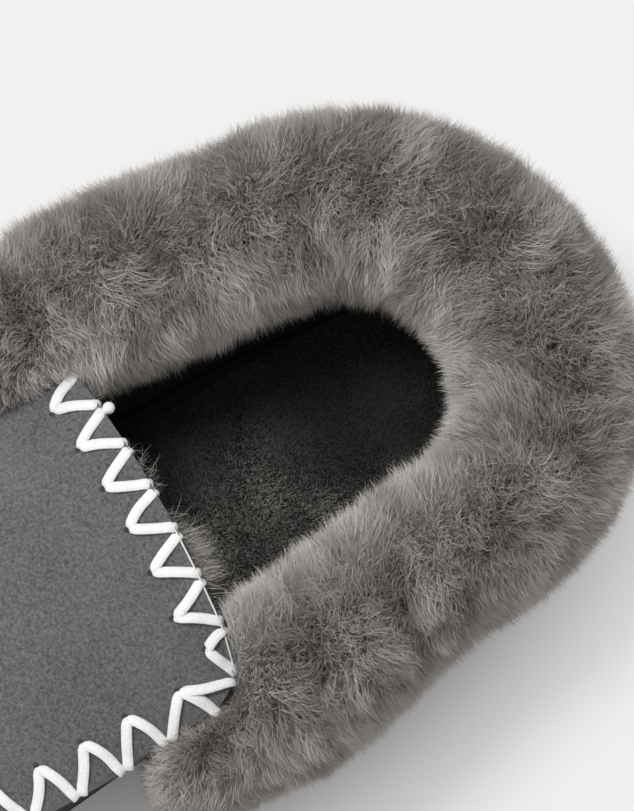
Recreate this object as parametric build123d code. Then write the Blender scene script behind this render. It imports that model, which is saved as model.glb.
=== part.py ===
from build123d import *
import os
from math import cos, radians, sin

# A right-foot moccasin house slipper with a deep fur collar, in millimetres.
# Working frame: x = 0 is the middle of the heel and +X the inner (medial) side, y = 0 is the back
# of the sole with the toe towards -Y, and z = 0 is the ground. The finished slipper is centred on
# the origin at the very end.

# Sole outline: a heel arc, the waist, the ball of the foot and a toe arc.
sole_length = 256.0
heel_radius = 38.0
waist_station = 105.0
waist_medial = 41.0
waist_lateral = 43.0
ball_station = 180.0
ball_medial = 47.0
ball_lateral = 51.0
toe_radius = 44.0
toe_shift = 2.0

# Sole unit, a moulded cup with a treaded bottom.
outsole_height = 14.0
outsole_base = 5.0
cup_wall = 3.2
tread_depth = 2.0
tread_groove = 2.4
tread_pitch = 8.5
tread_border = 6.0
outsole_edge_radius = 1.5
heel_tread_length = 62.0
arch_length = 52.0
toe_spring_height = 4.5
toe_spring_length = 46.0

# What lies in the cup, from the bottom up.
midsole_thickness = 5.0
board_thickness = 1.5
footbed_foam_thickness = 4.0
footbed_pile_thickness = 2.0

# Upper: suede, heel counter and pile lining, counted inwards from the outside of the suede.
suede = 1.6
counter_thickness = 1.0
lining = 2.2
clearance = 0.3
laid_gap = 0.2
footbed_clearance = 1.6
topline_height = 62.0
counter_height = 46.0
counter_reach = 58.0
side_seam_station = 113.0
upper_waist_flare = 8.0
upper_toe_lean = 12.0
upper_bulge = 1.0

# Apron: a domed suede plug whose open edge is the throat.
throat_station = 100.5
throat_bow = 7.0
throat_corner = 13.0
apron_flange = 1.4
apron_edge_inset = 0.5
apron_toe_share = 0.65
apron_lining_inset = 2.0
instep_height = 71.0
forefoot_height = 57.0
toe_height = 40.0
instep_drop = 14.0
forefoot_drop = 10.0
toe_drop = 6.0
dome_half_span = 48.0
dome_spread = 1.35

# Fur collar: the outside of the standing pile, round the heel and both sides.
collar_bottom = 16.0
collar_top = 87.0
collar_radius = 66.0
collar_centre = 45.0
collar_half_width = 73.5
collar_front_station = 126.0
collar_seam_shift = 10.0
collar_overrun = 20.0
collar_apron_gap = 1.0
mouth_back = 25.0
mouth_end_half = 15.0
mouth_middle_half = 24.0
mouth_throat_half = 30.0
mouth_undercut = 10.0
mouth_flare = 12.0

# Flat waxed thread, laid in a zigzag over the apron's edge.
thread_width = 2.3
thread_thickness = 0.8
stitch_pitch = 12.6
stitch_depth = 10.0
stitch_step = 3.0
stitch_end_margin = 5.0
hole_trim = 4.7
thread_lift = 0.25
knot_radius = 1.5
knot_gap = 1.75
knot_place = 0.55
edge_margin = 1.2

# Heights and insets that follow from the sizes above.
midsole_top = outsole_base + midsole_thickness
board_top = midsole_top + board_thickness
foam_top = board_top + footbed_foam_thickness
footbed_top = foam_top + footbed_pile_thickness
upper_foot_inset = cup_wall + clearance
counter_outside = suede + clearance
lining_outside = counter_outside + counter_thickness + clearance
lining_inside = lining_outside + lining
footbed_inset = upper_foot_inset + lining_inside + footbed_clearance
toe_centre = sole_length - toe_radius
reach = 60.0
beyond = 200.0


def arc_points(centre_x, centre_y, radius, angles):
    """Points on an arc, by angle in degrees from +X."""
    points = []
    for angle in angles:
        turn = radians(angle)
        points.append((centre_x + radius * cos(turn), centre_y + radius * sin(turn)))
    return points


def closed_curve(points, height, first=0):
    """A smooth closed face through points in plan, begun at any one of them."""
    ordered = points[first:] + points[:first]
    return make_face(Spline(*[(x, y, height) for x, y in ordered], periodic=True))


def outline(height, grow=0.0, waist=0.0, toe=0.0, first=0):
    """The sole's plan shape at a height, grown outwards, with more at the waist or the toe."""
    heel = heel_radius + grow
    front = toe_radius + grow + toe
    points = arc_points(0, -heel_radius, heel, (90, 45, 0))
    points.append((waist_medial + grow + waist, -waist_station))
    points.append((ball_medial + grow + toe / 8, -ball_station))
    points += arc_points(toe_shift, -toe_centre, front, (0, -45, -90, -135, -180))
    points.append((-ball_lateral - grow - toe / 8, -ball_station))
    points.append((-waist_lateral - grow - waist, -waist_station))
    points += arc_points(0, -heel_radius, heel, (180, 135))
    return closed_curve(points, height, first)


def slab(bottom, top, grow):
    """A flat layer of the sole between two heights."""
    return extrude(outline(bottom, grow), amount=top - bottom, dir=(0, 0, 1))


def upper_body(inset):
    """The filled shape of the upper, inset from the outside of the suede and over-long in height."""
    sections = [
        (midsole_top - 6, -upper_foot_inset, 0, 0),
        (outsole_height, -upper_foot_inset, 0, 0),
        (outsole_height + 10, 0, upper_waist_flare * 0.4, 0),
        (outsole_height + 20, upper_bulge, upper_waist_flare * 0.7, -upper_toe_lean * 0.3),
        (toe_height + 4, 0, upper_waist_flare * 0.9, -upper_toe_lean),
        (topline_height - 6, -upper_bulge, upper_waist_flare, -upper_toe_lean - 4),
        (instep_height + 8, -2 * upper_bulge, upper_waist_flare, -upper_toe_lean - 6),
    ]
    faces = [outline(z, grow - inset, waist, toe) for z, grow, waist, toe in sections]
    return loft(faces)


def upper_layer(outside, inside, region):
    """One layer of the upper within a region, as a wall open on top."""
    return (upper_body(outside) & region) - upper_body(inside)


def dome(start, end):
    """The space between two depths, measured down from the top of the apron."""
    back = throat_station - throat_bow - 8
    sections = [
        (sole_length + 4, toe_height - 4, toe_drop),
        (toe_centre, toe_height + 6, toe_drop + 1),
        (ball_station - 8, forefoot_height, forefoot_drop),
        (ball_station - 48, (forefoot_height + instep_height) / 2 + 2, (forefoot_drop + instep_drop) / 2),
        (back, instep_height + 1, instep_drop),
    ]
    faces = []
    span = dome_half_span * dome_spread
    for station, height, drop in sections:
        rim = height - drop * dome_spread**2
        left = (-span, -station, rim - end)
        upper = ThreePointArc(
            (-span, -station, rim - start), (0, -station, height - start), (span, -station, rim - start)
        )
        lower = ThreePointArc(
            (-span, -station, rim - end), (0, -station, height - end), (span, -station, rim - end)
        )
        sides = [Line(upper @ 0, left), Line(upper @ 1, lower @ 1)]
        faces.append(make_face([upper, lower] + sides))
    return loft(faces)


def apron_plan(grow=0.0):
    """The apron's flat outline: the upper's edge, closed by the bowed throat."""
    lean = -upper_toe_lean * apron_toe_share
    rim = outline(0, apron_flange - apron_edge_inset + grow, upper_waist_flare, lean)
    half = waist_lateral + 30
    corner = throat_station + throat_bow
    bow = ThreePointArc((-half, -corner, 0), (0, -throat_station + grow, 0), (half, -corner, 0))
    far = -sole_length - 20
    sides = Polyline(bow @ 1, (half, far, 0), (-half, far, 0), bow @ 0)
    plan = rim & make_face([bow, sides])
    corners = plan.vertices().sort_by(Axis.Y)[-2:]
    return fillet(corners, throat_corner)


def block(x0, x1, y0, y1, z0, z1):
    """A box between two corners."""
    centre = ((x0 + x1) / 2, (y0 + y1) / 2, (z0 + z1) / 2)
    return Pos(*centre) * Box(x1 - x0, y1 - y0, z1 - z0)


def in_front_of(station):
    """Everything on the toe side of a station."""
    return block(-beyond, beyond, -sole_length - beyond, -station, -reach, beyond)


def make_outsole():
    """Moulded cup sole with bar tread under the heel and the forefoot."""
    body = slab(0, outsole_height, 0)
    body = fillet(body.edges().group_by(Axis.Z)[0], outsole_edge_radius)
    body -= slab(outsole_base, outsole_height + 1, -cup_wall)
    wedge = Polyline(
        (0, -sole_length + toe_spring_length, 0),
        (0, -sole_length - 10, toe_spring_height * (1 + 10 / toe_spring_length)),
        (0, -sole_length - 10, -5),
        (0, -sole_length + toe_spring_length, -5),
        close=True,
    )
    body -= extrude(make_face(wedge), amount=150, both=True)
    field = slab(-1, tread_depth, -tread_border)
    heel_end = tread_border + heel_tread_length
    station = tread_border + tread_pitch
    grooves = []
    while station < sole_length - toe_spring_length:
        if station < heel_end or station > heel_end + arch_length:
            grooves.append(block(-beyond, beyond, -station - tread_groove, -station, -1, tread_depth))
        station += tread_pitch
    return body - (Part() + grooves & field)


def make_midsole():
    return slab(outsole_base, midsole_top, -cup_wall - clearance)


def make_insole_board():
    return slab(midsole_top, board_top, -footbed_inset)


def make_footbed_foam():
    return slab(board_top, foam_top, -footbed_inset)


def make_footbed_cover():
    return slab(foam_top, footbed_top, -footbed_inset)


def front_region():
    """The space of the vamp, standing on the midsole."""
    return block(-beyond, beyond, -2 * beyond, -side_seam_station, midsole_top + laid_gap, instep_height + 7)


def back_region(side):
    """The inner (side 1) or outer (side -1) half of the space behind the side seam."""
    edge = clearance / 2
    x0 = edge if side > 0 else -beyond
    x1 = beyond if side > 0 else -edge
    return block(x0, x1, -side_seam_station + clearance, beyond, midsole_top + laid_gap, topline_height)


def make_suede(region):
    """A suede wall of the upper, cut off just under the apron."""
    return upper_layer(0, suede, region) - dome(-reach, suede + laid_gap)


def make_lining(region):
    """A pile-lining wall of the upper, cut off just under the apron's lining."""
    wall = upper_layer(lining_outside, lining_inside, region)
    return wall - dome(-reach, suede + lining + 2 * laid_gap)


def make_heel_counter():
    """Stiffener round the heel, between the suede and the lining."""
    region = block(-beyond, beyond, -counter_reach, beyond, midsole_top + laid_gap, counter_height)
    return upper_layer(counter_outside, counter_outside + counter_thickness, region)


def make_apron():
    plug = extrude(apron_plan(), amount=beyond, dir=(0, 0, 1))
    return dome(0, suede) & plug


def make_apron_lining():
    start = suede + laid_gap
    plug = extrude(apron_plan(-apron_lining_inset), amount=beyond, dir=(0, 0, 1))
    return dome(start, start + lining) & plug & upper_body(suede + clearance)


def mouth(height, grow):
    """The opening between the fur at one height."""
    front = collar_front_station + collar_overrun
    side = mouth_throat_half + grow
    points = [
        (0, -mouth_back + grow),
        (mouth_end_half + grow * 0.8, -mouth_back - 4 + grow * 0.7),
        (mouth_middle_half + grow, -(mouth_back + throat_station) / 2 + 10),
        (side, -throat_station + 6),
        (side, -front + 12),
        (side - 12, -front),
        (12 - side, -front),
        (-side, -front + 12),
        (-side, -throat_station + 6),
        (-mouth_middle_half - grow, -(mouth_back + throat_station) / 2 + 10),
        (-mouth_end_half - grow * 0.8, -mouth_back - 4 + grow * 0.7),
    ]
    return closed_curve(points, height, 5)


def mouth_funnel():
    """The hollow that the foot goes through, waisted where the pile stands in."""
    levels = [
        (topline_height - 8, mouth_undercut),
        (topline_height + 2, mouth_undercut * 0.4),
        (topline_height + 14, 0),
        (collar_top, mouth_flare * 0.6),
        (collar_top + 6, mouth_flare),
    ]
    return loft([mouth(z, grow) for z, grow in levels])


def collar_outline(height, grow):
    """The outside of the pile at one height: a round heel and two straight sides."""
    radius = collar_radius + grow
    side = collar_half_width + grow
    front = collar_front_station + collar_overrun
    points = arc_points(0, -collar_centre, radius, (90, 45, 0))
    points += [(side, -throat_station), (side - 4, -front), (0, -front - 30), (4 - side, -front)]
    points += [(-side, -throat_station)] + arc_points(0, -collar_centre, radius, (180, 135))
    return closed_curve(points, height, 5)


def collar_body():
    """The outside of the pile, bulging over the sole and rounded on top."""
    levels = [
        (collar_bottom, -14),
        (collar_bottom + 10, -5),
        (collar_bottom + 26, -1),
        (collar_bottom + 40, 0),
        (collar_top - 17, -4),
        (collar_top - 7, -12),
        (collar_top, -26),
    ]
    return loft([collar_outline(z, grow) for z, grow in levels])


def make_collar():
    """The whole collar, lying on the outside of the upper and over the topline."""
    body = collar_body() - in_front_of(collar_front_station)
    below_topline = block(-beyond, beyond, -2 * beyond, beyond, 0, topline_height + clearance)
    core = upper_body(-clearance) & below_topline
    plug = extrude(apron_plan(collar_apron_gap), amount=beyond, dir=(0, 0, 1))
    return body - core - plug - mouth_funnel()


def collar_half(collar, side):
    edge = collar_seam_shift + side * clearance / 2
    x0 = edge if side > 0 else -beyond
    x1 = beyond if side > 0 else edge
    return collar & block(x0, x1, -beyond, beyond, 0, beyond)


def surface_point(sheet, x, y):
    """The point of the apron's top above a place in plan, with its normal."""
    hits = sheet.find_intersection_points(Axis((x, y, 0), (0, 0, 1)))
    hits = sorted(hits, key=lambda hit: hit[0].Z)
    point, normal = hits[-1]
    if normal.Z < 0:
        normal = -normal
    return point, normal


def thread_bar(sheet, start, end, start_trim, end_trim):
    """One straight leg of flat thread laid on the apron between two places in plan."""
    first, first_normal = surface_point(sheet, *start)
    last, last_normal = surface_point(sheet, *end)
    along = (last - first).normalized()
    first = first + along * start_trim
    last = last - along * end_trim
    up = (first_normal + last_normal).normalized()
    middle = (first + last) * 0.5 + up * (thread_lift + thread_thickness / 2)
    place = Plane(origin=middle, x_dir=along, z_dir=up)
    return place * Box((last - first).length, thread_width, thread_thickness)


def stitches(path, sheet, count):
    """Zigzag legs along a path whose inner side is the apron."""
    bars = []
    centre = Vector(toe_shift / 2, -(throat_station + sole_length) / 2, 0)
    length = path.length
    margin = stitch_end_margin / length
    for index in range(count):
        here = margin + (1 - 2 * margin) * (index + 0.5) / count
        edge = path.position_at(here)
        along = path.tangent_at(here)
        inward = Vector(-along.Y, along.X, 0)
        if inward.dot(centre - edge) < 0:
            inward = -inward
        outer = edge + inward * edge_margin
        back = outer - along * (stitch_step / 2)
        front = outer + along * (stitch_step / 2)
        pitch = (length - 2 * stitch_end_margin) / count
        hole = edge + inward * stitch_depth
        hole_back = hole - along * (pitch / 2)
        hole_front = hole + along * (pitch / 2)
        bars.append(thread_bar(sheet, (hole_back.X, hole_back.Y), (back.X, back.Y), hole_trim, 0))
        bars.append(thread_bar(sheet, (front.X, front.Y), (hole_front.X, hole_front.Y), 0, hole_trim))
    return bars


def throat_edge_and_side_edge(plan):
    """The apron's outline split into its throat and the seam that runs round the toe."""
    throat = []
    side = []
    for edge in plan.edges():
        middle = edge.position_at(0.5)
        behind = middle.Y > -throat_station - throat_bow - throat_corner * 0.6
        (throat if behind else side).append(edge)
    return Wire(throat), Wire(side)


def make_threads():
    """The thread over the throat, and the thread along the seam round the toe."""
    throat, side = throat_edge_and_side_edge(apron_plan())
    sheet = dome(0, suede)
    groups = []
    for path in (throat, side):
        count = round(path.length / stitch_pitch)
        groups.append(Compound(children=stitches(path, sheet, count)))
    return groups


def make_knot():
    """The thread's knotted end, tucked behind the throat near its outer corner."""
    x = -waist_lateral * knot_place
    sheet = dome(0, suede)
    edge, normal = surface_point(sheet, x, -throat_station - throat_bow * 0.35)
    y = -throat_station - throat_bow * 0.35 + knot_radius + knot_gap
    return Pos(x, y, edge.Z - suede / 2) * Sphere(knot_radius)


def build_all():
    """Every piece by node name, in the working frame."""
    collar = make_collar()
    throat_thread, seam_thread = make_threads()
    return {
        "outsole": make_outsole(),
        "midsole": make_midsole(),
        "insole_board": make_insole_board(),
        "footbed_foam": make_footbed_foam(),
        "footbed_cover": make_footbed_cover(),
        "vamp": make_suede(front_region()),
        "quarter_inner": make_suede(back_region(1)),
        "quarter_outer": make_suede(back_region(-1)),
        "heel_counter": make_heel_counter(),
        "vamp_lining": make_lining(front_region()),
        "quarter_lining_inner": make_lining(back_region(1)),
        "quarter_lining_outer": make_lining(back_region(-1)),
        "apron": make_apron(),
        "apron_lining": make_apron_lining(),
        "collar_inner": collar_half(collar, 1),
        "collar_outer": collar_half(collar, -1),
        "throat_thread": throat_thread,
        "seam_thread": seam_thread,
        "thread_knot": make_knot(),
    }


os.makedirs("parts", exist_ok=True)
pieces = build_all()
whole = Compound(children=[Compound(piece.solids()) for piece in pieces.values()]).bounding_box()
to_origin = Pos(-whole.center().X, -whole.center().Y, -whole.min.Z)
for node, piece in pieces.items():
    placed = to_origin * Compound(piece.solids())
    export_step(placed, "parts/" + node + ".step")
    print(node, len(piece.solids()), round(piece.volume, 1))
print("overall", whole.size, "moved by", to_origin.position)
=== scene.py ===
# %% [markdown]
# # A moccasin house slipper with a deep fur collar
#
# The slipper is a dark rubber cup sole, a grey suede upper, a near-black pile lining, and a collar
# of deep grey fur that stands out round the heel. A white flat thread zigzags over the edge of the
# suede apron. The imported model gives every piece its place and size. Here the hard and flat pieces
# keep their shape and get a finish, and the pieces whose look is made of hair or thread are built
# again as meshes, because hair is geometry and not a picture on a surface.

import math

import bpy
import numpy as np
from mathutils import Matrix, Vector
from mathutils.bvhtree import BVHTree


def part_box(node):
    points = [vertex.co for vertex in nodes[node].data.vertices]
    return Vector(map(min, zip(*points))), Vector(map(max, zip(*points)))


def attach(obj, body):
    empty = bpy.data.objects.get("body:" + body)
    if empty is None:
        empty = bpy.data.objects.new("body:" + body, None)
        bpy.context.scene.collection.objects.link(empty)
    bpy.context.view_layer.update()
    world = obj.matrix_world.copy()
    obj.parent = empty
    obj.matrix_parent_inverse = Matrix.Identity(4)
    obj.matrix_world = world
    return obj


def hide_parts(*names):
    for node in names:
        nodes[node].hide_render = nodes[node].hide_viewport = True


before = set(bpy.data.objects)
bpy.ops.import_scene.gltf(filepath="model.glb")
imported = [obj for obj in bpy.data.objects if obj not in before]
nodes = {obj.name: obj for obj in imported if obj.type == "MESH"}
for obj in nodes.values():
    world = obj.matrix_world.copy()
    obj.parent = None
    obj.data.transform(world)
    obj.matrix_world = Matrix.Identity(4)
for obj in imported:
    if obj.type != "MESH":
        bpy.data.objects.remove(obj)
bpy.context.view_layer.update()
MM = 0.001
print("pieces in the frame:", len(nodes))

# %% [markdown]
# ## Where the collar lies
#
# Seen from above, the collar is a horseshoe: a round heel and two nearly straight sides that end
# beside the apron. One coordinate runs along the horseshoe and another runs outwards from its
# middle. All the fur is planned in these two, and only then turned into places in the room.

# %% The horseshoe
inner_low, inner_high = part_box("collar_inner")
outer_low, outer_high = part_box("collar_outer")
throat_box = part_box("apron")
throat_back = throat_box[1].y
heel_back = max(inner_high.y, outer_high.y)
collar_front = min(inner_low.y, outer_low.y)
collar_half_width = (inner_high.x - outer_low.x) / 2
collar_high = inner_high.z
heel_radius = 66 * MM
bend_radius = 45 * MM
bend_y = heel_back - heel_radius
side_length = bend_y - collar_front
arc_length = math.pi * bend_radius
ring_length = arc_length + 2 * side_length
mouth_at_heel = 20 * MM
mouth_at_bend = 25 * MM
mouth_at_throat = 31 * MM


def forward_share(along):
    """0 on the heel's arc, growing to 1 at the collar's front ends."""
    from_end = np.minimum(along, ring_length - along)
    return np.clip(1 - from_end / side_length, 0, 1)


def heel_share(along):
    """1 at the back of the heel, falling to 0 where the sides begin."""
    turn = (along - side_length) / arc_length
    return np.where((turn > 0) & (turn < 1), np.sin(np.pi * np.clip(turn, 0, 1)), 0)


def outer_radius(along):
    """The fur's outside: fuller on the outer side, flatter on the inner side of the heel."""
    widening = np.clip(forward_share(along) * 1.8 + 0.3, 0, 1)
    sides = heel_radius + (collar_half_width - heel_radius) * widening
    flattened = np.exp(-(((along - side_length + 6 * MM) / (32 * MM)) ** 2))
    return sides - 8 * MM * flattened


def mouth_radius(along):
    sides = mouth_at_bend + (mouth_at_throat - mouth_at_bend) * forward_share(along)
    wider = 7 * MM * np.clip(1 - (ring_length - along) / (48 * MM), 0, 1)
    return sides + wider + (mouth_at_heel - mouth_at_bend) * heel_share(along) ** 2


def ring_place(along, radius):
    """Plan x and y of places along the horseshoe, and the outward direction at each."""
    turn = np.clip((along - side_length) / bend_radius, 0, np.pi)
    before = np.minimum(along - side_length, 0)
    after = np.maximum(along - side_length - arc_length, 0)
    out_x = np.cos(turn)
    out_y = np.sin(turn)
    x = radius * out_x
    y = bend_y + radius * out_y + before - after
    return x, y, out_x, out_y


apron_half = min(-throat_box[0].x, throat_box[1].x)
beside_apron = throat_back - collar_front + 3 * MM
apron_blend = 10 * MM


def front_share(along):
    """1 beside the apron, 0 behind the throat, with a short blend between."""
    from_end = np.minimum(along, ring_length - along)
    return np.clip((beside_apron - from_end) / apron_blend, 0, 1)


print("collar length along its middle, mm:", round(ring_length / MM))

# %% [markdown]
# ## The hide under the fur
#
# Fur grows from a hide or a knitted backing, which rises inside the mouth, turns over the topline
# and falls outside the heel. Its profile is a short list of corners, rounded by cutting the corners
# off a few times. The first number is a share of half the collar's thickness, measured from its
# middle, and the second is a height.

# %% The hide's profile
hide_corners = np.array(
    [
        (-0.44, 42 * MM),
        (-0.54, 56 * MM),
        (-0.46, 68 * MM),
        (-0.10, 74 * MM),
        (0.34, 73 * MM),
        (0.60, 62 * MM),
        (0.62, 44 * MM),
        (0.40, 24 * MM),
    ]
)


def round_off(points, times):
    """Cuts every corner at a quarter and three quarters, keeping the two ends."""
    for _ in range(times):
        quarter = points[:-1] * 0.75 + points[1:] * 0.25
        three = points[:-1] * 0.25 + points[1:] * 0.75
        middle = np.stack([quarter, three], axis=1).reshape(-1, 2)
        points = np.vstack([points[:1], middle, points[-1:]])
    return points


half_thickness = 22.5 * MM
hide_foot = hide_corners[-1, 1]
# Beside the apron the fur covers the edge on the outer side and stays clear of it on the inner
# side, where it also falls lower.
outer_cover = 9 * MM
inner_clear = 3 * MM
slant = 5 * MM
outer_spread = 22 * MM
outer_drop = 0.05
inner_drop = 0.42
profile = round_off(hide_corners, 3)
profile_real = np.column_stack([profile[:, 0] * half_thickness, profile[:, 1]])
steps = np.linalg.norm(np.diff(profile_real, axis=0), axis=1)
profile_run = np.concatenate([[0], np.cumsum(steps)])
profile_length = profile_run[-1]
print("hide width from the mouth to the sole, mm:", round(profile_length / MM))


def hide_place(along, across):
    """Points on the hide, its outward normal, and the ways inwards over it and along the ring."""
    share = np.interp(across, profile_run, profile[:, 0])
    height = np.interp(across, profile_run, profile[:, 1])
    step = 1.5 * MM
    radial_a = np.interp(across - step, profile_run, profile_real[:, 0])
    radial_b = np.interp(across + step, profile_run, profile_real[:, 0])
    height_a = np.interp(across - step, profile_run, profile[:, 1])
    height_b = np.interp(across + step, profile_run, profile[:, 1])
    run_r = radial_b - radial_a
    run_z = height_b - height_a
    size = np.maximum(np.hypot(run_r, run_z), 1e-9)
    run_r = run_r / size
    run_z = run_z / size
    inside = mouth_radius(along)
    outside = outer_radius(along)
    radius = (inside + outside) / 2 + share * (outside - inside) / 2
    far_side = along > ring_length / 2
    clear = apron_half + np.where(far_side, -outer_cover, inner_clear) + (share + 0.5) * slant
    widest = clear + (share + 0.5) * outer_spread
    front = front_share(along)
    beside = np.where(far_side, np.minimum(radius, widest), np.maximum(radius, clear))
    radius = radius * (1 - front) + beside * front
    x, y, out_x, out_y = ring_place(along, radius)
    drop = np.where(far_side, outer_drop, inner_drop) * front
    place = np.column_stack([x, y, height - (height - hide_foot) * drop])
    normal = np.column_stack([-run_z * out_x, -run_z * out_y, run_r])
    inward = np.column_stack([-run_r * out_x, -run_r * out_y, -run_z])
    sideways = np.column_stack([-out_y, out_x, np.zeros_like(out_x)])
    return place, normal, inward, sideways


# %% [markdown]
# ## Planning hair
#
# Real fur is not even: hairs lean together into small tufts, tufts gather into locks, and both
# follow slow waves. Each hair here is a short bent line of four points. It is mixed with a guide
# line, made from its tuft and its lock, more strongly towards the tip, so roots stay spread and
# tips meet. Smooth random waves, made of a few sines with fixed random phases, turn the fur slowly.


# %% Waves and tufts
def waves(seed, a, b, size):
    """Smooth noise from -1 to 1 over two lengths, with features of about one size."""
    draw = np.random.default_rng(seed)
    total = np.zeros_like(a)
    for _ in range(7):
        angle = draw.uniform(0, 2 * np.pi)
        rate = 2 * np.pi / (size * draw.uniform(0.7, 1.6))
        phase = draw.uniform(0, 2 * np.pi)
        total += np.sin(rate * (a * np.cos(angle) + b * np.sin(angle)) + phase)
    return total / 3.5


def nearest_tuft(seed, a, b, size):
    """The middle of the tuft that each place belongs to, and a random number of that tuft."""
    draw = np.random.default_rng(seed)
    count = 61
    shift = draw.uniform(0.1, 0.9, (count, count, 2))
    value = draw.random((count, count))
    cell_a = np.floor(a / size).astype(int)
    cell_b = np.floor(b / size).astype(int)
    best = np.full(a.shape, 1e9)
    tuft_a = a.copy()
    tuft_b = b.copy()
    number = np.zeros_like(a)
    for step_a in (-1, 0, 1):
        for step_b in (-1, 0, 1):
            i = (cell_a + step_a) % count
            j = (cell_b + step_b) % count
            centre_a = (cell_a + step_a + shift[i, j, 0]) * size
            centre_b = (cell_b + step_b + shift[i, j, 1]) * size
            far = (centre_a - a) ** 2 + (centre_b - b) ** 2
            closer = far < best
            best = np.where(closer, far, best)
            tuft_a = np.where(closer, centre_a, tuft_a)
            tuft_b = np.where(closer, centre_b, tuft_b)
            number = np.where(closer, value[i, j], number)
    return tuft_a, tuft_b, number


# %% [markdown]
# ## Bending the collar's hair
#
# On the mouth side the fur leans over the edge and into the slipper, as a foot leaves it. On top
# and outside it stands out and turns only with the waves. Beside the apron it leans outwards. Each
# hair is kinked: its three parts turn by the hair's own stray direction, first along it, then
# across it, then back, which gives the crimped look of a washed pile.

# %% Bend the hair
pile_length = 14 * MM
parting = 0.47
levels = 4


def unit(vectors):
    return vectors / np.maximum(np.linalg.norm(vectors, axis=1, keepdims=True), 1e-9)


def bent_hairs(along, across, length, stray):
    """Four points of each hair that grows at these places on the hide."""
    place, normal, inward, sideways = hide_place(along, across)
    share = across / profile_length
    slow = waves(11, along, across, 34 * MM)
    turn = waves(12, along, across, 19 * MM)
    quick = waves(13, along, across, 8 * MM)
    front = front_share(along)
    side = np.clip((parting - share) * 3, 0, 1) * (1 - front) - 0.7 * front
    comb = 0.42 * side + 0.24 * quick + 0.14 * slow
    sway = 0.30 * turn + 0.22 * slow
    bend = comb[:, None] * inward + sway[:, None] * sideways
    curl = np.cross(normal, stray)
    headings = [
        unit(normal + 0.3 * bend + 0.5 * stray),
        unit(normal + 0.8 * bend + 0.8 * curl + 0.2 * stray),
        unit(0.75 * normal + 1.2 * bend - 0.7 * stray + 0.5 * curl),
    ]
    from_end = np.minimum(along, ring_length - along)
    end_lean = np.clip(1 - from_end / (9 * MM), 0, 1)[:, None] * np.array([0, -1.1, 0])
    points = [place]
    for heading in headings:
        points.append(points[-1] + unit(heading + end_lean) * (length / (levels - 1))[:, None])
    return np.stack(points, axis=1)


def tufted_hairs(along, across, draw):
    """Hairs whose tips gather in small tufts inside larger locks, with a tone for each."""
    count = along.size
    tuft_along, tuft_across, tuft_number = nearest_tuft(21, along, across, 2.6 * MM)
    lock_along, lock_across, lock_number = nearest_tuft(22, along, across, 6.5 * MM)
    own_stray = draw.normal(0, 1, (count, 3))
    tuft_angle = 2 * np.pi * tuft_number
    lock_angle = 2 * np.pi * lock_number
    zero = np.zeros(count)
    tuft_stray = np.column_stack([np.cos(tuft_angle), np.sin(tuft_angle), zero])
    lock_stray = np.column_stack([np.cos(lock_angle), np.sin(lock_angle), zero])
    fullness = 0.84 + 0.14 * tuft_number + 0.10 * lock_number
    length = pile_length * fullness * (1 - 0.3 * front_share(along))
    own_length = length * draw.uniform(0.62, 1.06, count)
    own = bent_hairs(along, across, own_length, own_stray * 0.62)
    tuft_across = np.clip(tuft_across, 0, profile_length)
    lock_across = np.clip(lock_across, 0, profile_length)
    tuft = bent_hairs(tuft_along, tuft_across, length, tuft_stray * 0.75)
    lock = bent_hairs(lock_along, lock_across, length, lock_stray * 0.7)
    loose = draw.random(count) < 0.10
    pull = np.where(loose, 0.10, draw.uniform(0.2, 0.6, count))
    weight = pull[:, None] * (np.arange(levels) / (levels - 1)) ** 1.2
    guide = tuft * 0.6 + lock * 0.4
    hairs = own * (1 - weight[:, :, None]) + guide * weight[:, :, None]
    slow = waves(31, along, across, 30 * MM)
    share = across / profile_length
    # The paler band over the inner top of the collar is painted light.
    painted_light_fringe = np.exp(-(((share - 0.20) / 0.16) ** 2))
    patch = waves(32, along, across, 13 * MM)
    # The paler band on the outer top of the heel is painted light.
    rim = heel_share(along) * np.clip((share - 0.55) * 3, 0, 1)
    tone = 0.33 + 0.30 * painted_light_fringe + 0.16 * rim
    tone = tone + 0.18 * (tuft_number - 0.5) + 0.20 * (lock_number - 0.5)
    tone = tone + 0.13 * slow + 0.17 * patch
    tone = tone + draw.normal(0, 0.09, count)
    return hairs, np.clip(tone, 0.02, 0.98), loose


# %% [markdown]
# ## From lines to a mesh
#
# A hair is far too thin to be a tube. Each one becomes a narrow ribbon that tapers to a point, five
# triangles in all, turned at random about its own line so that light catches it unevenly. The
# ribbon's map coordinates carry what the finish needs: across the map lies the hair's tone and up
# the map lies the way from root to tip.


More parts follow.
